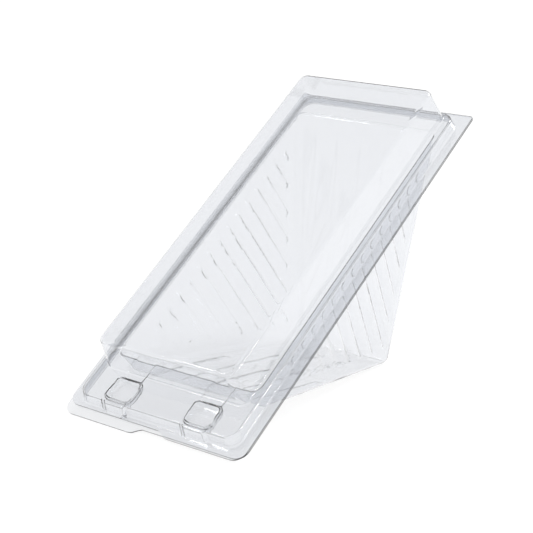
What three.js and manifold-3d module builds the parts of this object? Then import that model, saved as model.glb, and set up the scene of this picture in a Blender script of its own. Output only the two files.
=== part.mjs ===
// Hinged takeaway pack for one cut sandwich, thermoformed from one sheet of clear plastic.
// A wedge-shaped tray carries a raised rim, and a shallow domed lid folds over onto that rim.
// Pack frame: x across the pack, y from the opening edge (0) to the hinge, z out of the rim towards the lid.
// The finished pack stands on its opening edge and on the ridge of the wedge. Millimetres.

import * as THREE from "three";
import { ConvexGeometry } from "three/addons/geometries/ConvexGeometry.js";
import { mergeVertices } from "three/addons/utils/BufferGeometryUtils.js";
import Module from "manifold-3d";

// Sheet and fit
const sheet = 0.45; // thickness of the formed sheet
const nestGap = 0.3; // air between the lid and the tray wherever they nest
const layerPitch = sheet + nestGap; // from one nested surface to the same surface of the other layer

// Rim
const packLength = 190; // opening edge to hinge line
const packWidth = 88.8;
const flangeEnd = packLength - nestGap; // both flanges stop just short of the hinge line
const flangeNearRadius = 5; // rounded corners at the opening edge
const flangeFarRadius = 0.8; // nearly square corners beside the hinge

// Opening tabs, one per layer, side by side so that a thumb finds each of them
const trayTabEdge = -1; // the tray's tab, on the left, reaches the furthest
const trayRecessEdge = 1.8;
const trayTabShoulder = [-9, -4]; // where the tab starts and stops sloping back
const lidTabEdge = 0.8; // the lid's tab, on the right
const lidRecessEdge = 3.2;
const lidTabShoulder = [8, 3.5];

// Raised step that runs round the rim, given on the lid's outer face
const stepHeight = 5;
const stepHalfWidth = 40;
const stepNear = 4.8;
const stepFar = 185.6;
const stepRadius = 5.4;
const stepSideDraft = 0.18; // horizontal run per millimetre of height
const stepNearDraft = 0.3;
const stepFarDraft = 0.08;

// Dome of the lid, given on its outer face
const domeTop = 19.5; // height of the flat top above the parting plane
const domeHalfWidth = 35.4; // at the foot of the dome
const domeNear = 21;
const domeFar = 184.1;
const domeRadius = 3.2;
const domeSideDraft = 0.124;
const domeNearDraft = 0.124;
const domeFarDraft = 0.069;
const domeShoulder = 1.1; // rounded edge between the top and the walls
const domeShoulderInset = [0.33, 1.1]; // inset of the outline part way up the edge and at the top
const domeShoulderShare = 0.33; // share of the edge's height that lies above its middle outline

// Wedge of the tray, given on its outer face
const ridgeAlong = 106.4; // virtual ridge where floor and back wall meet
const ridgeDepth = 72.7;
const ridgeHalfWidth = 25.1;
const mouthNear = 28.6; // edges of the mouth at the ledge
const mouthFar = 174.6;
const mouthHalfWidth = 36;
const mouthRadius = 4.2;
const toeAlong = 29.5; // foot of the short near wall
const toeDepth = 7.8;
const edgeRadius = 3.6; // edges of the wedge

// Stiffening ribs, pressed inwards
const ribRadius = 2.1;
const ribDepth = 1;
const sideRibCount = 14;
const sideRibFirst = 51.85; // first rib from the opening edge
const sideRibPitch = 7.89;
const sideRibTop = -3.4; // level of the centre of each rib's upper end
const sideRibClear = 8.5; // from the wedge's lower edges, along the side wall
const sideRibLeast = 0.6; // the shortest rib's length between the centres of its ends
const longRibCount = 5; // on the floor and on the back wall
const longRibPitch = 12;
const floorRibSpan = [9, 83]; // along the slope, from the top of the floor
const backRibSpan = [10, 90]; // along the slope, from the mouth
const outerRibDepth = 38; // the outermost long ribs stop here, where the wedge narrows

// Latches: a cup of the lid presses into a cup of the tray, and both push the step forward a little
const latchAcross = 20;
const latchAlong = 13.2;
const cupHalf = [6.1, 4.9]; // half sizes of the lid's cup at the ledge
const cupFloorHalf = [5.3, 4.1];
const cupRadius = 2;
const cupDepth = 2.4;
const padHalfWidth = 6;
const padForward = 1;
const padBack = 3.5; // how far the pad runs back into the step
const channelHalfWidth = 4.9; // shallow channel from each cup of the tray to its mouth
const channelDepth = 0.8;
const channelNear = 17;

// Smoothness
const cornerSegments = 5;
const sphereSegments = 16;
const capSegments = 3;
const ribSegments = 12;
const tabSteps = 6;
const leastRadius = 0.2; // no corner is formed sharper than this
const weldDistance = 1e-4;
const overcut = 2; // how far a cutting form reaches past the face that it opens

// Look of the sheet
const sheetTint = 0xe6e9ee;
const sheetRoughness = 0.08;
const trayOpacity = 0.35;
const lidOpacity = 0.3;

// Derived levels
const trayFlangeTop = -nestGap / 2;
const lidFlangeBottom = nestGap / 2;
const trayStepTop = stepHeight - layerPitch;
const mouthLevel = trayStepTop;

const wasm = await Module();
wasm.setup();

// Solids: closed three.js geometries turned into solids that can be joined and cut
function solid(geometry) {
  const bare = new THREE.BufferGeometry();
  bare.setAttribute("position", geometry.getAttribute("position"));
  if (geometry.index) bare.setIndex(geometry.index);
  const merged = mergeVertices(bare, weldDistance);
  return new wasm.Manifold(
    new wasm.Mesh({
      numProp: 3,
      vertProperties: new Float32Array(merged.attributes.position.array),
      triVerts: new Uint32Array(merged.index.array),
    }),
  );
}

function join(forms) {
  return forms.reduce((all, form) => all.add(form));
}

function cut(body, forms) {
  return forms.reduce((rest, form) => rest.subtract(form), body);
}

function hullOf(points) {
  return solid(new ConvexGeometry(points));
}

function block(x, y, z) {
  const geometry = new THREE.BoxGeometry(x[1] - x[0], y[1] - y[0], z[1] - z[0]);
  geometry.translate((x[0] + x[1]) / 2, (y[0] + y[1]) / 2, (z[0] + z[1]) / 2);
  return solid(geometry);
}

// A rectangle with rounded corners at one level
function ring({ half, near, far, radius, z }) {
  const points = [];
  const r = Math.max(radius, leastRadius);
  const centres = [
    [half - r, far - r, 0],
    [-half + r, far - r, 1],
    [-half + r, near + r, 2],
    [half - r, near + r, 3],
  ];
  for (const [x, y, quarter] of centres) {
    for (let i = 0; i <= cornerSegments; i++) {
      const a = ((quarter + i / cornerSegments) * Math.PI) / 2;
      points.push(new THREE.Vector3(x + r * Math.cos(a), y + r * Math.sin(a), z));
    }
  }
  return points;
}

// Step: the same drafted form serves both faces of both layers, each at its own inset
function stepRing(z, inset) {
  return ring({
    half: stepHalfWidth - stepSideDraft * z - inset,
    near: stepNear + stepNearDraft * z + inset,
    far: stepFar - stepFarDraft * z - inset,
    radius: stepRadius - inset,
    z,
  });
}

function stepForm(inset, bottom) {
  const top = stepHeight - inset;
  const foot = stepRing(0, inset);
  const forms = [
    hullOf([...foot.map((p) => new THREE.Vector3(p.x, p.y, bottom)), ...foot, ...stepRing(top, inset)]),
  ];
  for (const side of [-1, 1]) {
    const pad = [];
    for (const z of [0, top]) {
      const near = stepNear - padForward + stepNearDraft * z + inset;
      const far = near + padBack;
      const half = padHalfWidth - stepSideDraft * z - inset;
      for (const x of [-half, half]) {
        pad.push(new THREE.Vector3(side * latchAcross + x, near, z));
        pad.push(new THREE.Vector3(side * latchAcross + x, far, z));
        if (z === 0) {
          pad.push(new THREE.Vector3(side * latchAcross + x, near, bottom));
          pad.push(new THREE.Vector3(side * latchAcross + x, far, bottom));
        }
      }
    }
    forms.push(hullOf(pad));
  }
  return join(forms);
}

// Latch cup, open upwards, with its wall offset outwards by grow
function cupForm(grow, top) {
  const cups = [];
  for (const side of [-1, 1]) {
    const points = [];
    const floor = stepHeight - cupDepth - grow;
    const levels = [
      [floor, cupFloorHalf],
      [stepHeight, cupHalf],
      [top, cupHalf],
    ];
    for (const [z, half] of levels) {
      points.push(
        ...ring({
          half: half[0] + grow,
          near: -half[1] - grow,
          far: half[1] + grow,
          radius: cupRadius + grow,
          z,
        }).map((p) => new THREE.Vector3(p.x + side * latchAcross, p.y + latchAlong, p.z)),
      );
    }
    cups.push(hullOf(points));
  }
  return join(cups);
}

// Flange: a flat plate whose near edge carries one opening tab
function flangePlate(bottom, edges) {
  const half = packWidth / 2;
  const outline = new THREE.Shape();
  const [left, right] = [edges.left, edges.right];
  outline.moveTo(-half, left + flangeNearRadius);
  outline.absarc(
    -half + flangeNearRadius,
    left + flangeNearRadius,
    flangeNearRadius,
    Math.PI,
    Math.PI * 1.5,
    false,
  );
  const [a, b] = edges.shoulder;
  const [x0, x1] = [Math.min(a, b), Math.max(a, b)];
  for (let i = 0; i <= tabSteps; i++) {
    const s = i / tabSteps;
    outline.lineTo(x0 + (x1 - x0) * s, left + (right - left) * s * s * (3 - 2 * s));
  }
  outline.absarc(
    half - flangeNearRadius,
    right + flangeNearRadius,
    flangeNearRadius,
    -Math.PI / 2,
    0,
    false,
  );
  outline.absarc(half - flangeFarRadius, flangeEnd - flangeFarRadius, flangeFarRadius, 0, Math.PI / 2, false);
  outline.absarc(
    -half + flangeFarRadius,
    flangeEnd - flangeFarRadius,
    flangeFarRadius,
    Math.PI / 2,
    Math.PI,
    false,
  );
  outline.closePath();
  const geometry = new THREE.ExtrudeGeometry(outline, {
    depth: sheet,
    bevelEnabled: false,
    curveSegments: cornerSegments,
  });
  geometry.translate(0, 0, bottom);
  return solid(geometry);
}

// Wedge: mouth, short near wall, sloping floor, back wall and two drafted sides in one convex form
const sideSlope = (mouthHalfWidth - ridgeHalfWidth) / (mouthLevel + ridgeDepth);
const floorSlope = (ridgeDepth - toeDepth) / (ridgeAlong - toeAlong);
const backSlope = (ridgeDepth + mouthLevel) / (mouthFar - ridgeAlong);
const floorAngle = Math.atan(floorSlope);
const backAngle = Math.atan(backSlope);
const sideAngle = Math.atan(sideSlope);

// Centre of a ball that touches the floor plane, a second plane and a side wall from inside
function ridgeBall() {
  const halfTurn = (Math.PI - floorAngle - backAngle) / 2;
  const lean = floorAngle + halfTurn; // direction from the ridge to the centre
  const reach = edgeRadius / Math.sin(halfTurn);
  const y = ridgeAlong - reach * Math.cos(lean);
  const z = -ridgeDepth + reach * Math.sin(lean);
  const x = ridgeHalfWidth + sideSlope * (z + ridgeDepth) - edgeRadius / Math.cos(sideAngle);
  return new THREE.Vector3(x, y, z);
}

function toeBall() {
  const nearLean = Math.atan((toeAlong - mouthNear) / (toeDepth + mouthLevel));
  const corner = Math.PI - (Math.PI / 2 - nearLean) - floorAngle;
  const reach = edgeRadius / Math.sin(corner / 2);
  const lean = Math.PI / 2 + nearLean - corner / 2;
  const y = toeAlong + reach * Math.cos(lean);
  const z = -toeDepth + reach * Math.sin(lean);
  const x = mouthHalfWidth - sideSlope * (mouthLevel - z) - edgeRadius / Math.cos(sideAngle);
  return new THREE.Vector3(x, y, z);
}

function ballPoints(centre, radius) {
  const geometry = new THREE.SphereGeometry(radius, sphereSegments, sphereSegments / 2);
  const bare = geometry.getAttribute("position");
  const points = [];
  for (const side of [-1, 1]) {
    for (let i = 0; i < bare.count; i++) {
      const p = new THREE.Vector3().fromBufferAttribute(bare, i);
      points.push(new THREE.Vector3(side * (centre.x + p.x), centre.y + p.z, centre.z + p.y));
    }
  }
  return points;
}

function mouthRing(inset, z) {
  return ring({
    half: mouthHalfWidth - inset,
    near: mouthNear + inset,
    far: mouthFar - inset,
    radius: mouthRadius - inset,
    z,
  });
}

// The form ends at the mouth, or runs on straight up to a higher top
function wedgeForm(inset, top) {
  const mouth = mouthRing(inset, mouthLevel);
  const radius = edgeRadius - inset;
  const points = [
    ...mouth,
    ...ballPoints(ridgeBall(), radius),
    ...ballPoints(toeBall(), radius),
  ];
  const body = hullOf(points);
  if (top <= mouthLevel) return body;
  const raised = mouthRing(inset, top);
  const sunk = mouthRing(inset + sheet, mouthLevel - leastRadius);
  return body.add(hullOf([...raised, ...mouth, ...sunk]));
}

// A rib: a rod with round ends between two points just outside the wall
function ribForm(from, to, radius) {
  const length = from.distanceTo(to);
  const geometry = new THREE.CapsuleGeometry(radius, length, capSegments, ribSegments);
  const turn = new THREE.Quaternion().setFromUnitVectors(
    new THREE.Vector3(0, 1, 0),
    to.clone().sub(from).normalize(),
  );
  geometry.applyQuaternion(turn);
  geometry.translate((from.x + to.x) / 2, (from.y + to.y) / 2, (from.z + to.z) / 2);
  return solid(geometry);
}

function wedgeRibs(grow) {
  const radius = ribRadius + grow;
  const offset = ribRadius - ribDepth; // the rods' axes lie this far outside the wall
  const ribs = [];
  const floorAt = (y) => -toeDepth - (y - toeAlong) * floorSlope;
  const backAt = (y) => -ridgeDepth + (y - ridgeAlong) * backSlope;
  const wallAt = (z) => mouthHalfWidth - sideSlope * (mouthLevel - z);
  const out = [Math.cos(sideAngle) * offset, -Math.sin(sideAngle) * offset];
  for (let i = 0; i < sideRibCount; i++) {
    const y = sideRibFirst + i * sideRibPitch;
    const lowest = Math.max(
      floorAt(y) + sideRibClear / Math.cos(floorAngle),
      backAt(y) + sideRibClear / Math.cos(backAngle),
    );
    const bottom = Math.min(lowest, sideRibTop - sideRibLeast);
    for (const side of [-1, 1]) {
      ribs.push(
        ribForm(
          new THREE.Vector3(side * (wallAt(sideRibTop) + out[0]), y, sideRibTop + out[1]),
          new THREE.Vector3(side * (wallAt(bottom) + out[0]), y, bottom + out[1]),
          radius,
        ),
      );
    }
  }
  const floorTop = { y: toeAlong, z: -toeDepth };
  const backTop = { y: mouthFar, z: mouthLevel };
  for (let i = 0; i < longRibCount; i++) {
    const x = (i - (longRibCount - 1) / 2) * longRibPitch;
    const outermost = i === 0 || i === longRibCount - 1;
    const floorDir = [Math.cos(floorAngle), -Math.sin(floorAngle)];
    const backDir = [-Math.cos(backAngle), -Math.sin(backAngle)];
    const limit = (top, dir) => (-outerRibDepth - top.z) / dir[1];
    const floorEnd = outermost ? limit(floorTop, floorDir) : floorRibSpan[1];
    const backEnd = outermost ? limit(backTop, backDir) : backRibSpan[1];
    const floorPoint = (s) =>
      new THREE.Vector3(
        x,
        floorTop.y + floorDir[0] * s + floorDir[1] * offset,
        floorTop.z + floorDir[1] * s - floorDir[0] * offset,
      );
    const backPoint = (s) =>
      new THREE.Vector3(
        x,
        backTop.y + backDir[0] * s - backDir[1] * offset,
        backTop.z + backDir[1] * s + backDir[0] * offset,
      );
    ribs.push(ribForm(floorPoint(floorRibSpan[0]), floorPoint(floorEnd), radius));
    ribs.push(ribForm(backPoint(backRibSpan[0]), backPoint(backEnd), radius));
  }
  return ribs;
}

// Tray: flange, step with two latch cups, ledge, and the ribbed wedge that hangs from the ledge
function makeTray() {
  const plate = flangePlate(trayFlangeTop - sheet, {
    left: trayTabEdge,
    right: trayRecessEdge,
    shoulder: trayTabShoulder,
  });
  const channels = (grow, bottom) =>
    [-1, 1].map((side) =>
      block(
        [side * latchAcross - channelHalfWidth - grow, side * latchAcross + channelHalfWidth + grow],
        [channelNear - grow, mouthNear + overcut],
        [bottom, stepHeight + overcut],
      ),
    );
  const channelFloor = trayStepTop - channelDepth;
  const raised = cut(plate.add(stepForm(layerPitch, trayFlangeTop)), channels(0, channelFloor));
  const under = cut(stepForm(layerPitch + sheet, -overcut), [
    ...channels(sheet, channelFloor - sheet),
    cupForm(layerPitch + sheet, stepHeight),
  ]);
  const rim = cut(raised, [under, cupForm(layerPitch, stepHeight + overcut)]);
  const wedge = cut(wedgeForm(0, mouthLevel), [...channels(0, channelFloor), ...wedgeRibs(0)]);
  const hollow = cut(wedgeForm(sheet, stepHeight + overcut), wedgeRibs(sheet));
  return rim.add(wedge).subtract(hollow);
}

// Lid: flange, step with two latch cups, and the dome that rises from the ledge
function domeRing(z, inset, extra = 0) {
  const rise = z - stepHeight;
  return ring({
    half: domeHalfWidth - domeSideDraft * rise - inset - extra,
    near: domeNear + domeNearDraft * rise + inset + extra,
    far: domeFar - domeFarDraft * rise - inset - extra,
    radius: domeRadius - inset,
    z,
  });
}

function domeForm(inset, bottom) {
  const top = domeTop - inset;
  return hullOf([
    ...domeRing(bottom, inset),
    ...domeRing(top - domeShoulder, inset),
    ...domeRing(top - domeShoulder * domeShoulderShare, inset, domeShoulderInset[0]),
    ...domeRing(top, inset, domeShoulderInset[1]),
  ]);
}

function makeLid() {
  const plate = flangePlate(lidFlangeBottom, {
    left: lidRecessEdge,
    right: lidTabEdge,
    shoulder: lidTabShoulder,
  });
  const under = cut(stepForm(sheet, -overcut), [cupForm(sheet, stepHeight)]);
  const rim = cut(plate.add(stepForm(0, lidFlangeBottom)), [
    under,
    cupForm(0, stepHeight + overcut),
  ]);
  return rim.add(domeForm(0, stepHeight - sheet / 2)).subtract(domeForm(sheet, stepHeight - overcut));
}

function meshOf(form, name, material) {
  const data = form.getMesh();
  const geometry = new THREE.BufferGeometry();
  geometry.setAttribute("position", new THREE.BufferAttribute(data.vertProperties, 3));
  geometry.setIndex(new THREE.BufferAttribute(data.triVerts, 1));
  geometry.computeVertexNormals();
  const mesh = new THREE.Mesh(geometry, material);
  mesh.name = name;
  return mesh;
}

function clearSheet(name, opacity) {
  const material = new THREE.MeshStandardMaterial({
    color: sheetTint,
    roughness: sheetRoughness,
    metalness: 0,
    transparent: true,
    opacity,
  });
  material.name = name;
  return material;
}

const tray = meshOf(makeTray(), "tray", clearSheet("clear_sheet_tray", trayOpacity));
const lid = meshOf(makeLid(), "lid", clearSheet("clear_sheet_lid", lidOpacity));

// Standing pose: the tray's tab and the ridge of the wedge touch the table.
// The steepest line from the tab to the tray below its mouth gives the tilt.
const closed = new THREE.Group();
closed.add(tray, lid);
const contact = [trayTabEdge, trayFlangeTop - sheet];
const surface = tray.geometry.getAttribute("position");
let steepest = 0;
for (let i = 0; i < surface.count; i++) {
  const y = surface.getY(i);
  if (y < mouthNear) continue;
  steepest = Math.min(steepest, Math.atan2(surface.getZ(i) - contact[1], y - contact[0]));
}
closed.rotation.x = -steepest;
closed.updateMatrixWorld(true);
const box = new THREE.Box3().setFromObject(closed, true);
closed.position.set(-(box.min.x + box.max.x) / 2, -(box.min.y + box.max.y) / 2, -box.min.z);

const pack = new THREE.Group();
pack.name = "sandwich_wedge_pack";
pack.add(closed);

export default pack;
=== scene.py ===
from math import atan, cos, pi, radians, sin, sqrt

import bpy
import numpy as np
from mathutils import Euler, Matrix, Vector


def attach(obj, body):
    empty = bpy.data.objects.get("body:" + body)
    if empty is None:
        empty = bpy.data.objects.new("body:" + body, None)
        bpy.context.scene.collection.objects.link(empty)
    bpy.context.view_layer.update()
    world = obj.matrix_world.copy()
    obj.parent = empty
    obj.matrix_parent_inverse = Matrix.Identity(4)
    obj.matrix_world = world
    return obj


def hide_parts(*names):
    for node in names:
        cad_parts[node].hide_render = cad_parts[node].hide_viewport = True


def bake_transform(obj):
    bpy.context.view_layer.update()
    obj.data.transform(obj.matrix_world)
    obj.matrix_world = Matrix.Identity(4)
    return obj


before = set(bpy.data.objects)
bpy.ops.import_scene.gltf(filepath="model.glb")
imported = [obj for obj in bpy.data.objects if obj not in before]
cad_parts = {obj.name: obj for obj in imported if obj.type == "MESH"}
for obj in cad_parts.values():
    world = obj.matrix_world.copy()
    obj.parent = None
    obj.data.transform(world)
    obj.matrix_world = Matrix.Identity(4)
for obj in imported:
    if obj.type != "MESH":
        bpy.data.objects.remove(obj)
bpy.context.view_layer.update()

# Camera
# A long lens, from the right of the opening edge and a little above the lid,
# so that the whole pack fills the square picture on its diagonal.
camera_place = (0.35265, -0.46689, 0.21896)
camera_turn = (73.9125, -0.5769, 37.5689)
camera_lens = 100.33
camera_sensor = 36
camera_clip = 0.01

camera_data = bpy.data.cameras.new("camera")
camera_data.lens = camera_lens
camera_data.sensor_width = camera_sensor
camera_data.clip_start = camera_clip
camera = bpy.data.objects.new("camera", camera_data)
camera.location = camera_place
camera.rotation_euler = Euler([radians(a) for a in camera_turn], "XYZ")
bpy.context.scene.collection.objects.link(camera)
bpy.context.scene.camera = camera

# Tray
# The wedge, its ledge, its raised rim and its flange are one half of a sheet of clear PET,
# drawn down into a mould while hot. The walls carry pressed ribs that keep the thin sheet stiff.
sheet = 0.45
nest_gap = 0.3
layer_pitch = sheet + nest_gap
pack_length = 190.0
pack_half_width = 44.4
flange_end = pack_length - nest_gap
flange_radius, flange_far_radius = 5.0, 0.8
flange_middle = 2.6
tray_flange_top = -nest_gap / 2
tray_tab_reach, tray_tab_recess = -1.0, 2.8
tray_tab_side, tray_tab_run = -9.0, 5.0

# The pack is laid out in millimetres in its own directions, x across, y from the opening edge
# to the hinge and z out of the flange, and then stood up in metres.
stand_angle = radians(33.67852)
stand_shift = (0.0, -78.72244, 1.05383)
standing = (
    Matrix.Scale(0.001, 4)
    @ Matrix.Translation(stand_shift)
    @ Matrix.Rotation(stand_angle, 4, "X")
)

step_height = 5.0
step_half, step_near, step_far, step_radius = 40.0, 4.8, 185.6, 5.4
step_drafts = (0.18, 0.3, 0.08)
step_least_radius = 0.5
foot_round = 0.5
shoulder_round = 0.6
far_share = 0.5

mouth_half, mouth_near, mouth_far, mouth_radius = 36.0, 28.6, 174.6, 4.2
mouth_level = step_height - layer_pitch
mouth_round = 0.7
mouth_corner_share = 0.5
mouth_steps = 5

ridge_along, ridge_depth, ridge_half = 106.4, 72.7, 25.1
toe_along, toe_depth = 29.5, 7.8
toe_round_share = 0.25
wedge_round = 3.6
side_slope = (mouth_half - ridge_half) / (mouth_level + ridge_depth)
floor_slope = (ridge_depth - toe_depth) / (ridge_along - toe_along)
back_slope = (ridge_depth + mouth_level) / (mouth_far - ridge_along)
floor_angle, back_angle = atan(floor_slope), atan(back_slope)

# The inner round of the ridge, where the floor meets the back wall.
ridge_bend = wedge_round - sheet
ridge_opening = (pi - floor_angle - back_angle) / 2
ridge_lean = floor_angle + ridge_opening
ridge_reach = ridge_bend / sin(ridge_opening)
apex_y = ridge_along - sheet / sin(ridge_opening) * cos(ridge_lean)
apex_z = -ridge_depth + sheet / sin(ridge_opening) * sin(ridge_lean)
ridge_centre_y = apex_y - ridge_reach * cos(ridge_lean)
ridge_centre_z = apex_z + ridge_reach * sin(ridge_lean)
wedge_floor = ridge_centre_z - ridge_bend

rib_reach = 2.2
rib_rise = 1.0
side_rib_first, side_rib_pitch, side_rib_count = 51.85, 7.89, 14
side_rib_top = -3.4
side_rib_clear = 8.5
side_rib_least = 0.6
long_rib_share = 0.75
long_rib_pitch = 12.0
long_rib_numbers = (-2, -1, 0, 1, 2)
outer_rib_from, outer_rib_depth = 20.0, -38.0
floor_rib_span = (9.0, 83.0)
back_rib_span = (10.0, 90.0)

cup_across, cup_along = 20.0, 13.2
cup_half = (5.7, 4.5)
cup_radius = 1.8
cup_wall = 0.8
cup_depth = 2.4
latch_start, latch_end = 2.0, 24.0
ledge_slack = 0.05
pad_half, pad_wall, pad_forward = 6.0, 0.9, 1.0
pad_back = 7.9
channel_half, channel_wall, channel_depth = 4.9, 0.9, 0.8
channel_start, channel_run, channel_end = 18.5, 1.2, 32.0
channel_low, channel_fade = -3.0, 5.0

corner_steps = 7
tray_side_steps = 138
far_count = 57
near_spread = 34.0
fine_half, fine_pitch = 7.5, 0.55
coarse_clear, coarse_pitch = 7.7, 1.6
upper_end, upper_count = -8.5, 15
lower_start, lower_count = -9.8, 38
ridge_steps = 7
ridge_lift = 0.0005
weld_distance = 0.002
end_slack = 1e-4
crease_angle = radians(38)
side_tag, far_tag, near_tag, corner_tag = 0, 1, 2, 3


def eased(t):
    """0 to 1 with a soft start and end."""
    t = np.clip(t, 0, 1)
    return t * t * (3 - 2 * t)


def evenly(first, pitch, count):
    """Evenly spaced places along the pack."""
    return [first + pitch * i for i in range(count)]


def near_stations():
    """Places across the near side, as shares of its half width, closer together at the latch cups."""
    fine = np.arange(cup_across - fine_half, cup_across + fine_half, fine_pitch)
    coarse = np.arange(-near_spread, near_spread, coarse_pitch)
    coarse = coarse[np.abs(np.abs(coarse) - cup_across) > coarse_clear]
    return np.sort(np.concatenate([fine, -fine, coarse])) / near_spread


near_places = near_stations()
far_places = np.linspace(-1, 1, far_count)


def ring(half, near, far, radius, z, side_steps, near_line=None, far_radius=None):
    """Points of a rectangle with rounded corners at one level,
    counter-clockwise from the near right corner, each tagged with its side."""
    far_radius = radius if far_radius is None else far_radius
    near_at = near_line or (lambda x: near)
    points = []

    def corner(x, y, r, quarter):
        for i in range(corner_steps + 1):
            a = (quarter + i / corner_steps) * pi / 2
            points.append((x + r * cos(a), y + r * sin(a), z, corner_tag))

    right_near = near_at(half)
    left_near = near_at(-half)
    corner(half - radius, right_near + radius, radius, 3)
    for t in np.linspace(0, 1, side_steps + 2)[1:-1]:
        y = (right_near + radius) + t * (far - far_radius - right_near - radius)
        points.append((half, y, z, side_tag))
    corner(half - far_radius, far - far_radius, far_radius, 0)
    for s in far_places[::-1][1:-1]:
        points.append((s * (half - far_radius), far, z, far_tag))
    corner(-half + far_radius, far - far_radius, far_radius, 1)
    for t in np.linspace(0, 1, side_steps + 2)[1:-1]:
        y = (far - far_radius) + t * (left_near + radius - far + far_radius)
        points.append((-half, y, z, side_tag))
    corner(-half + radius, left_near + radius, radius, 2)
    for s in near_places[1:-1]:
        x = s * (half - radius)
        points.append((x, near_at(x), z, near_tag))
    return np.array(points)


def step_ring(z, inset, side_steps):
    """The raised rim's wall at one level, its outline drawn in by inset."""
    side, near, far = step_drafts
    return ring(
        step_half - side * z - inset,
        step_near + near * z + inset,
        step_far - far * z - inset * far_share,
        max(step_radius - inset, step_least_radius),
        z,
        side_steps,
    )


def foot_rings(base, level, outline, radius, steps=4):
    """A concave round where a wall rises from the flat below it."""
    rings = []
    for i in range(steps + 1):
        a = i / steps * pi / 2
        rings.append(outline(level + radius * (1 - cos(a)), base - radius * (1 - sin(a))))
    return rings


def shoulder_rings(base, level, outline, radius, steps=4):
    """A convex round where a wall turns over into the flat above it."""
    rings = []
    for i in range(steps + 1):
        a = i / steps * pi / 2
        rings.append(outline(level - radius * (1 - sin(a)), base + radius * (1 - cos(a))))
    return rings


def ledge_rings(first, last, places):
    """Rings that carry the ledge from one outline to another, through these places on its near side."""
    start, end = first[-1, 1], last[-1, 1]
    rings = []
    for y in places:
        s = (y - start) / (end - start)
        mixed = first * (1 - s) + last * s
        mixed[:, 3] = first[:, 3]
        rings.append(mixed)
    return rings


def inside(distance, wall):
    """1 well inside a form's edge, 0 outside it, and a soft wall in between."""
    return eased(distance / wall + 0.5)


def press_latches(points, top, grow):
    """The two latch cups, and the pads that push the rim's near wall forward in front of them.
    The tray's cups are larger by grow and its pads smaller, so that the lid's nest in them."""
    x, y, z = points[:, 0], points[:, 1], points[:, 2]
    near_end = (y > latch_start) & (y < latch_end) & (points[:, 3] != side_tag)
    on_top = z > top - ledge_slack
    for side in (-1, 1):
        across = np.abs(x - side * cup_across)
        along = np.abs(y - cup_along)
        past = [across - cup_half[0] + cup_radius, along - cup_half[1] + cup_radius]
        outside = np.hypot(np.maximum(past[0], 0), np.maximum(past[1], 0))
        outside = outside + np.minimum(np.maximum(*past), 0)
        cup = inside(cup_radius + grow - outside, cup_wall)
        pad = inside(pad_half - grow - across, pad_wall) * eased((pad_back - y) / pad_wall)
        points[:, 2] -= np.where(near_end & on_top, cup * cup_depth, 0)
        points[:, 1] -= np.where(near_end, pad * pad_forward, 0)
    return points


def lay_grid(name, places, columns, rows):
    """A grid with so many columns and rows of points, laid through the places."""
    bpy.ops.object.select_all(action="DESELECT")
    bpy.ops.mesh.primitive_grid_add(x_subdivisions=columns - 1, y_subdivisions=rows - 1, size=1)
    piece = bpy.context.active_object
    piece.name = name
    piece.data.name = name
    piece.data.vertices.foreach_set("co", np.array(places, np.float32).reshape(-1))
    piece.data.update()
    return piece


def turn_faces():
    """Turns the active piece's faces over."""
    bpy.ops.object.mode_set(mode="EDIT")
    bpy.ops.mesh.select_all(action="SELECT")
    bpy.ops.mesh.flip_normals()
    bpy.ops.object.mode_set(mode="OBJECT")


def stand_up(piece, even):
    """Gives the piece the sheet's thickness and stands it up as the pack stands, smooth at its folds."""
    wall = piece.modifiers.new("sheet", "SOLIDIFY")
    wall.thickness = sheet
    wall.offset = -1
    wall.use_even_offset = even
    bpy.ops.object.modifier_apply(modifier=wall.name)
    piece.data.transform(standing)
    piece.data.update()
    bpy.ops.object.shade_smooth_by_angle(angle=crease_angle)


def sheet_piece(name, rings, closed_end):
    """One formed sheet: a grid laid through the rings, its seam welded, its far end closed if it
    has none, given its thickness and stood up."""
    places = np.array([np.vstack([r[:, :3], r[:1, :3]]) for r in rings], np.float32)
    piece = lay_grid(name, places, len(rings[0]) + 1, len(rings))
    bpy.ops.object.mode_set(mode="EDIT")
    bpy.ops.mesh.select_all(action="SELECT")
    bpy.ops.mesh.remove_doubles(threshold=weld_distance)
    if closed_end:
        bpy.ops.mesh.select_all(action="DESELECT")
        bpy.ops.object.mode_set(mode="OBJECT")
        top = max(v.co.z for v in piece.data.vertices)
        for v in piece.data.vertices:
            v.select = v.co.z > top - end_slack
        bpy.ops.object.mode_set(mode="EDIT")
        bpy.ops.mesh.edge_face_add()
        bpy.ops.mesh.select_all(action="SELECT")
        bpy.ops.mesh.normals_make_consistent(inside=False)
    bpy.ops.object.mode_set(mode="OBJECT")
    flange_face = min(
        piece.data.polygons,
        key=lambda f: abs(f.center.y - flange_middle) + abs(f.center.x),
    )
    if flange_face.normal.z < 0:
        turn_faces()
    stand_up(piece, even=True)
    flats = piece.modifiers.new("flats", "WEIGHTED_NORMAL")
    flats.keep_sharp = True
    bpy.ops.object.modifier_apply(modifier=flats.name)
    return piece


def tray_near_line(x):
    """The tray's tab, on the left of the opening edge."""
    return tray_tab_reach + tray_tab_recess * float(eased((x - tray_tab_side) / tray_tab_run))


def tray_step(z, inset):
    """The tray's raised rim."""
    return step_ring(z, inset, tray_side_steps)


def mouth_outline(z, inset):
    """The mouth of the wedge, its inner face drawn in by inset."""
    return ring(
        mouth_half - sheet - inset,
        mouth_near + sheet + inset,
        mouth_far - sheet - inset,
        mouth_radius - sheet - min(inset, 0) * mouth_corner_share,
        z,
        tray_side_steps,
    )


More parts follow.
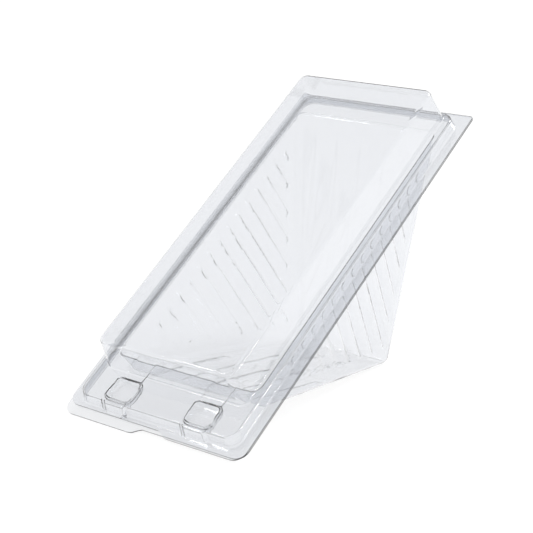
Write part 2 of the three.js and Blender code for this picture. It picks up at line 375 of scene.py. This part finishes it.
def wedge_ring(z):
    """The inner face of the wedge at one level: near wall or floor, back wall, and two sides."""
    near_wall_run = (toe_along - mouth_near) * (mouth_level - z) / (mouth_level + toe_depth)
    near_wall = mouth_near + near_wall_run + sheet
    floor = toe_along + (-toe_depth - z) / floor_slope + sheet / sin(floor_angle)
    soft = max(wedge_round - abs(near_wall - floor), 0) / wedge_round
    near = max(near_wall, floor) + soft * soft * wedge_round * toe_round_share
    far = ridge_along + (z + ridge_depth) / back_slope - sheet / sin(back_angle)
    bend_run = sqrt(max(ridge_bend**2 - (ridge_centre_z - z) ** 2, 0))
    if z < ridge_centre_z - ridge_bend * cos(floor_angle):
        near = ridge_centre_y - bend_run
    if z < ridge_centre_z - ridge_bend * cos(back_angle):
        far = ridge_centre_y + bend_run
    half = mouth_half - sheet / cos(atan(side_slope)) - side_slope * (mouth_level - z)
    above = wedge_floor + ridge_bend - z
    if above > 0:
        half -= ridge_bend - sqrt(max(ridge_bend**2 - above**2, 0))
    radius = min(mouth_radius - sheet, (far - near) / 2, half)
    return ring(half, near, far, max(radius, 0), z, tray_side_steps)


def rib_crown(distance):
    """The rounded height of a rib at a distance from its line."""
    return rib_rise * np.cos(np.minimum(distance / rib_reach, 1) * pi / 2) ** 2


def press_ribs(points):
    """The ribs, pressed inwards: upright on the side walls, along the slope on the floor and the back."""
    x, y, z, tag = points[:, 0].copy(), points[:, 1].copy(), points[:, 2].copy(), points[:, 3]
    for at in evenly(side_rib_first, side_rib_pitch, side_rib_count):
        floor_at = -toe_depth - (at - toe_along) * floor_slope + side_rib_clear / cos(floor_angle)
        back_at = -ridge_depth + (at - ridge_along) * back_slope + side_rib_clear / cos(back_angle)
        bottom = min(max(floor_at, back_at), side_rib_top - side_rib_least)
        past = np.maximum(z - side_rib_top, 0) + np.maximum(bottom - z, 0)
        rise = rib_crown(np.hypot(y - at, past))
        points[:, 0] -= np.where(tag == side_tag, np.sign(x) * rise, 0)
    for at in [long_rib_pitch * i for i in long_rib_numbers]:
        outermost = abs(at) > outer_rib_from
        start, end = floor_rib_span
        if outermost:
            end = (outer_rib_depth + toe_depth) / -sin(floor_angle)
        down = (-toe_depth - z) / sin(floor_angle)
        past = np.maximum(start - down, 0) + np.maximum(down - end, 0)
        on_floor = (tag == near_tag) * (z < -toe_depth)
        rise = long_rib_share * rib_crown(np.hypot(x - at, past)) * on_floor
        points[:, 1] += rise * sin(floor_angle)
        points[:, 2] += rise * cos(floor_angle)
        start, end = back_rib_span
        if outermost:
            end = (outer_rib_depth - mouth_level) / -sin(back_angle)
        down = (mouth_level - z) / sin(back_angle)
        past = np.maximum(start - down, 0) + np.maximum(down - end, 0)
        rise = long_rib_share * rib_crown(np.hypot(x - at, past)) * (tag == far_tag)
        points[:, 1] -= rise * sin(back_angle)
        points[:, 2] += rise * cos(back_angle)
    return points


def press_channels(points):
    """Shallow channels that run from the cups of the tray into its mouth."""
    x, y, z = points[:, 0], points[:, 1], points[:, 2]
    for side in (-1, 1):
        across = inside(channel_half - np.abs(x - side * cup_across), channel_wall)
        along = eased((y - channel_start) / channel_run) * (y < channel_end)
        along = along * eased((z - channel_low) / channel_fade)
        points[:, 2] -= np.where(points[:, 3] == near_tag, channel_depth * across * along, 0)
    return points


# Rings stand closer together across the near ledge, where the cups' walls start and end.
tray_ledge_places = evenly(7.65, 0.25, 7) + [10.5, 12.3, 14.1, 15.9, 17.0]
tray_ledge_places += evenly(17.7, 0.3, 6) + [20.2, 22.5, 25.0]
wedge_levels = list(np.linspace(mouth_level - mouth_round, upper_end, upper_count))
wedge_levels += list(np.linspace(lower_start, wedge_floor + wedge_round, lower_count))
for i in range(1, ridge_steps):
    wedge_levels.append(wedge_floor + ridge_bend * (1 - sin(i / ridge_steps * pi / 2)))
wedge_levels.append(wedge_floor + ridge_lift)

tray_rings = [
    ring(
        pack_half_width,
        0,
        flange_end,
        flange_radius,
        tray_flange_top,
        tray_side_steps,
        tray_near_line,
        flange_far_radius,
    )
]
tray_rings += foot_rings(layer_pitch, tray_flange_top, tray_step, foot_round)
tray_rings += shoulder_rings(layer_pitch, mouth_level, tray_step, shoulder_round)
mouth_edge = mouth_outline(mouth_level, -mouth_round)
tray_rings += ledge_rings(tray_rings[-1], mouth_edge, tray_ledge_places)
tray_rings.append(mouth_edge)
for i in range(1, mouth_steps):
    a = i / mouth_steps * pi / 2
    level = mouth_level - mouth_round * (1 - cos(a))
    tray_rings.append(mouth_outline(level, -mouth_round * (1 - sin(a))))
tray_rings[1:] = [press_latches(r, mouth_level, layer_pitch) for r in tray_rings[1:]]
tray_rings += [press_ribs(wedge_ring(z)) for z in wedge_levels]
tray_rings = [press_channels(r) for r in tray_rings]
tray_sheet = sheet_piece("tray_sheet", tray_rings, closed_end=False)

pet_tint = "#F3F4F6"
pet_roughness = 0.035
pet_ior = 1.575
wave_width = 0.018
wave_height = 0.0005
wave_strength = 0.3
wave_detail, wave_roughness = 2.0, 0.5


def linear(code):
    """An sRGB hex value as linear colour with alpha 1."""
    parts = [int(code[i : i + 2], 16) / 255 for i in (1, 3, 5)]
    return tuple(c / 12.92 if c <= 0.04045 else ((c + 0.055) / 1.055) ** 2.4 for c in parts) + (1.0,)


def add_node(tree, kind, inputs=None, **settings):
    """A node with its settings; inputs are values or output sockets to link."""
    node = tree.nodes.new(kind)
    for key, value in settings.items():
        setattr(node, key, value)
    for key, value in (inputs or {}).items():
        if isinstance(value, bpy.types.NodeSocket):
            tree.links.new(value, node.inputs[key])
        else:
            node.inputs[key].default_value = value
    return node


def clear_pet(name, tint):
    """PET sheet, thermoformed: nearly colourless, glossy on both faces, and very slightly wavy
    where it cooled against the mould, which is what bends the lines seen through it."""
    material = bpy.data.materials.new(name)
    material.use_nodes = True
    tree = material.node_tree
    tree.nodes.clear()
    place = add_node(tree, "ShaderNodeTexCoord")
    # cooling waves about 18 mm across
    waves = add_node(
        tree,
        "ShaderNodeTexNoise",
        {
            "Vector": place.outputs["Object"],
            "Scale": 1 / wave_width,
            "Detail": wave_detail,
            "Roughness": wave_roughness,
        },
    )
    bump = add_node(
        tree,
        "ShaderNodeBump",
        {"Height": waves.outputs["Fac"], "Strength": wave_strength, "Distance": wave_height},
    )
    plastic = add_node(
        tree,
        "ShaderNodeBsdfPrincipled",
        {
            "Base Color": linear(tint),
            "Roughness": pet_roughness,
            "IOR": pet_ior,
            "Transmission Weight": 1.0,
            "Normal": bump.outputs["Normal"],
        },
    )
    add_node(tree, "ShaderNodeOutputMaterial", {"Surface": plastic.outputs["BSDF"]})
    return material


def lay_on(material, pieces):
    """Leaves the pieces with this material alone."""
    for piece in pieces:
        piece.data.materials.clear()
        piece.data.materials.append(material)


pet_tray = clear_pet("clear_pet_tray", pet_tint)
lay_on(pet_tray, (tray_sheet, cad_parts["tray"]))
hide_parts("tray")
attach(tray_sheet, "tray")

# Lid
# The other half of the same sheet: a flange, a rim that nests over the tray's, a narrow ledge and
# a shallow dome with a flat top. Two cups near the opening edge press into the tray's cups.
lid_flange_top = nest_gap / 2 + sheet
lid_tab_recess, lid_tab_reach = 3.2, 2.4
lid_tab_side, lid_tab_run = 3.5, 4.5
dome_top = 19.5
dome_half, dome_near, dome_far, dome_radius = 35.4, 21.0, 184.1, 3.2
dome_drafts = (0.124, 0.124, 0.069)
dome_corner_share, dome_least_radius = 0.5, 0.6
dome_foot_round = 0.6
dome_top_round = 1.3
dome_top_steps = 6
dome_top_margin, dome_top_lift = 0.5, 0.0004
dome_levels = (8.5, 11.5, 14.5)
lid_side_steps = 30


def lid_near_line(x):
    """The lid's tab, on the right of the opening edge."""
    return lid_tab_recess - lid_tab_reach * float(eased((x - lid_tab_side) / lid_tab_run))


def lid_step(z, inset):
    """The lid's raised rim."""
    return step_ring(z, inset, lid_side_steps)


def dome_outline(z, inset):
    """The dome's wall at one level, its outline drawn in by inset."""
    rise = z - step_height
    side, near, far = dome_drafts
    return ring(
        dome_half - side * rise - inset,
        dome_near + near * rise + inset,
        dome_far - far * rise - inset * far_share,
        max(dome_radius - inset * dome_corner_share, dome_least_radius),
        z,
        lid_side_steps,
    )


lid_ledge_places = evenly(7.6, 0.25, 8) + [10.5, 12.3, 14.1, 15.9]
lid_ledge_places += evenly(17.0, 0.25, 9) + [19.8]
lid_rings = [
    ring(
        pack_half_width,
        0,
        flange_end,
        flange_radius,
        lid_flange_top,
        lid_side_steps,
        lid_near_line,
        flange_far_radius,
    )
]
lid_rings += foot_rings(0, lid_flange_top, lid_step, foot_round)
lid_rings += shoulder_rings(0, step_height, lid_step, shoulder_round)
dome_foot = dome_outline(step_height, -dome_foot_round)
lid_rings += ledge_rings(lid_rings[-1], dome_foot, lid_ledge_places)
lid_rings += foot_rings(0, step_height, dome_outline, dome_foot_round)
lid_rings += [dome_outline(z, 0) for z in dome_levels]
lid_rings[1:] = [press_latches(r, step_height, 0) for r in lid_rings[1:]]
lid_rings += shoulder_rings(0, dome_top, dome_outline, dome_top_round, dome_top_steps)
lid_rings.append(dome_outline(dome_top + dome_top_lift, dome_top_round + dome_top_margin))
lid_sheet = sheet_piece("lid_sheet", lid_rings, closed_end=True)

pet_lid = clear_pet("clear_pet_lid", pet_tint)
lay_on(pet_lid, (lid_sheet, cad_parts["lid"]))
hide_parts("lid")
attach(lid_sheet, "lid")

# Hinge fold
# The strip of sheet that joins the two halves at the far edge. It is creased in the mould,
# so it folds over on itself and lets the lid swing right back.
fold_radius = nest_gap / 2 + sheet
fold_reach = 0.38
fold_steps = 10
fold_columns = 9
fold_margin = 1.0

fold_points = []
for i in range(fold_steps + 1):
    a = -pi / 2 + i / fold_steps * pi
    for x in np.linspace(-pack_half_width + fold_margin, pack_half_width - fold_margin, fold_columns):
        fold_points.append((x, flange_end + fold_reach * cos(a), fold_radius * sin(a)))
fold = lay_grid("hinge_fold", fold_points, fold_columns, fold_steps + 1)
middle_face = min(fold.data.polygons, key=lambda f: abs(f.center.z) + abs(f.center.x))
if middle_face.normal.y < 0:
    turn_faces()
stand_up(fold, even=False)
fold.data.materials.append(pet_tray)
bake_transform(fold)

# Floor
# A wide sheet of white paper under the pack. It shows pure white all round,
# also through the clear sheet, and keeps the pack's soft shadow.
floor_size = 8
floor_drop = 0.0002
floor_lift = 0.9
paper_grey = "#707070"

bpy.ops.object.select_all(action="DESELECT")
bpy.ops.mesh.primitive_plane_add(size=floor_size, location=(0, 0, -floor_drop))
floor = bpy.context.active_object
floor.name = "floor"
# White paper, uncoated and matt: even and bright, with no gleam.
paper = bpy.data.materials.new("white_paper")
paper.use_nodes = True
tree = paper.node_tree
tree.nodes.clear()
path = add_node(tree, "ShaderNodeLightPath")
seen = add_node(
    tree,
    "ShaderNodeMath",
    {0: path.outputs["Is Camera Ray"], 1: path.outputs["Is Glossy Ray"]},
    operation="ADD",
)
seen_through = add_node(
    tree,
    "ShaderNodeMath",
    {0: seen.outputs[0], 1: path.outputs["Is Transmission Ray"]},
    operation="ADD",
    use_clamp=True,
)
lift = add_node(
    tree,
    "ShaderNodeMath",
    {0: seen_through.outputs[0], 1: floor_lift},
    operation="MULTIPLY",
)
glow = add_node(tree, "ShaderNodeEmission", {"Color": (1, 1, 1, 1), "Strength": lift.outputs[0]})
matt = add_node(tree, "ShaderNodeBsdfDiffuse", {"Color": linear(paper_grey)})
both = add_node(tree, "ShaderNodeAddShader", {0: glow.outputs[0], 1: matt.outputs[0]})
add_node(tree, "ShaderNodeOutputMaterial", {"Surface": both.outputs[0]})
floor.data.materials.append(paper)

# Light
# A white room, dimmer overhead, with one large soft lamp high up behind the hinge,
# and four small ones all round that draw the highlights along the folds.
dim_start, dim_end = 0.25, 0.9
room_bright, room_dim = 1.0, 0.74
lamp_target = (0, 0, 0.05)

world = bpy.data.worlds.new("white_room")
bpy.context.scene.world = world
world.use_nodes = True
tree = world.node_tree
tree.nodes.clear()
direction = add_node(tree, "ShaderNodeTexCoord")
height = add_node(tree, "ShaderNodeSeparateXYZ", {"Vector": direction.outputs["Generated"]})
fade = add_node(
    tree,
    "ShaderNodeMapRange",
    {
        "Value": height.outputs["Z"],
        "From Min": dim_start,
        "From Max": dim_end,
        "To Min": room_bright,
        "To Max": room_dim,
    },
    interpolation_type="SMOOTHSTEP",
)
room = add_node(tree, "ShaderNodeBackground", {"Color": (1, 1, 1, 1), "Strength": fade.outputs[0]})
add_node(tree, "ShaderNodeOutputWorld", {"Surface": room.outputs[0]})


def lamp(name, place, width, power):
    """A square lamp of this width and power, turned towards the pack."""
    data = bpy.data.lights.new(name, "AREA")
    data.shape = "RECTANGLE"
    data.size, data.size_y = width, width
    data.energy = power
    item = bpy.data.objects.new(name, data)
    item.location = place
    item.rotation_euler = (Vector(lamp_target) - Vector(place)).to_track_quat("-Z", "Y").to_euler()
    bpy.context.scene.collection.objects.link(item)
    item.visible_camera = False


lamp("back_lamp", (0.5, 0.7, 1.0), 0.5, 6.0)
lamp("left_lamp", (-0.68, -0.54, 0.86), 0.1, 0.8)
lamp("right_lamp", (0.9, -0.2, 0.6), 0.06, 0.9)
lamp("front_lamp", (0.1, -1.0, 0.9), 0.06, 0.9)
lamp("low_lamp", (1.1, 0.3, 0.3), 0.12, 1.5)

bpy.context.scene.view_settings.view_transform = "Standard"
